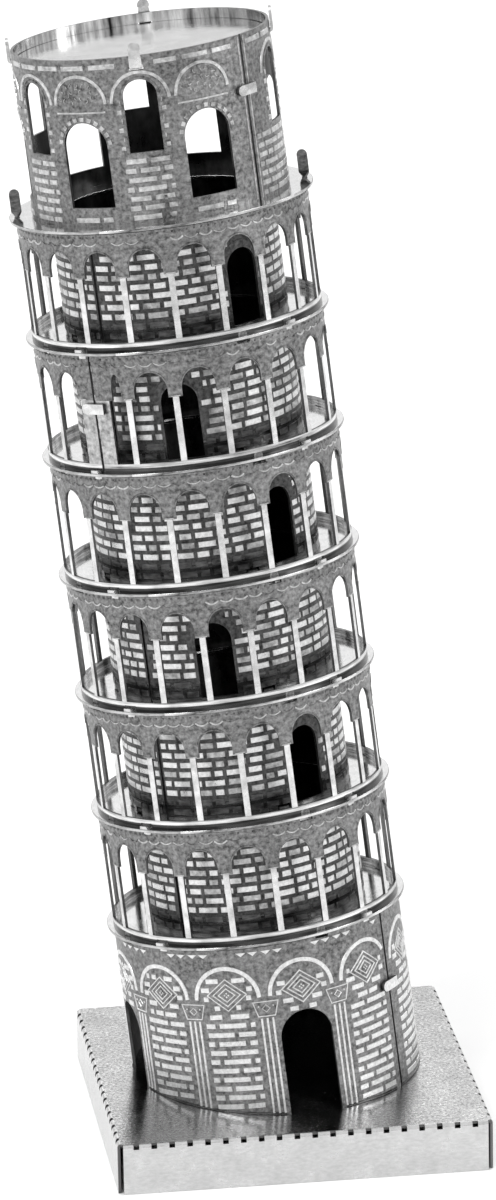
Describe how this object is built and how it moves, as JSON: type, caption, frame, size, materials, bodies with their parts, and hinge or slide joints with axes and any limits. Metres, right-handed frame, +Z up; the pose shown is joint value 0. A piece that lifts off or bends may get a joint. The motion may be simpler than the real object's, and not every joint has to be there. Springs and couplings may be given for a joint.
{
  "type": "miniature landmark model",
  "caption": "Desk-top sheet steel kit model of a leaning bell tower, with open arcades round brick core walls, on a square folded base.",
  "frame": {"origin": "middle of the foot of the base's front skirt, on the plane that the base stands on; the centre of the base is 19.85 mm behind it, along +Y", "axes": "+Z up, -Y to the front of the base, -X to the side that the tower leans to; the base's sides lie along X and Y"},
  "size_m": [0.0458, 0.046, 0.1206],
  "materials": {
    "satin_steel": "satin, fine grain",
    "polished_steel": "mirror polished",
    "etched_steel": "etched mid grey ground with bright raised lines and bricks"
  },
  "bodies": {
    "root": {"base": "satin_steel", "ground_wall": "etched_steel", "floor_plate_1": "polished_steel", "floor_plate_2": "polished_steel", "floor_plate_3": "polished_steel", "floor_plate_4": "polished_steel", "floor_plate_5": "polished_steel", "floor_plate_6": "polished_steel", "terrace_plate": "polished_steel", "arcade_1": "etched_steel", "arcade_2": "etched_steel", "arcade_3": "etched_steel", "arcade_4": "etched_steel", "arcade_5": "etched_steel", "arcade_6": "etched_steel", "core_wall_1": "etched_steel", "core_wall_2": "etched_steel", "core_wall_3": "etched_steel", "core_wall_4": "etched_steel", "core_wall_5": "etched_steel", "core_wall_6": "etched_steel", "belfry_wall": "etched_steel", "roof_disc": "polished_steel"}
  },
  "joints": []
}
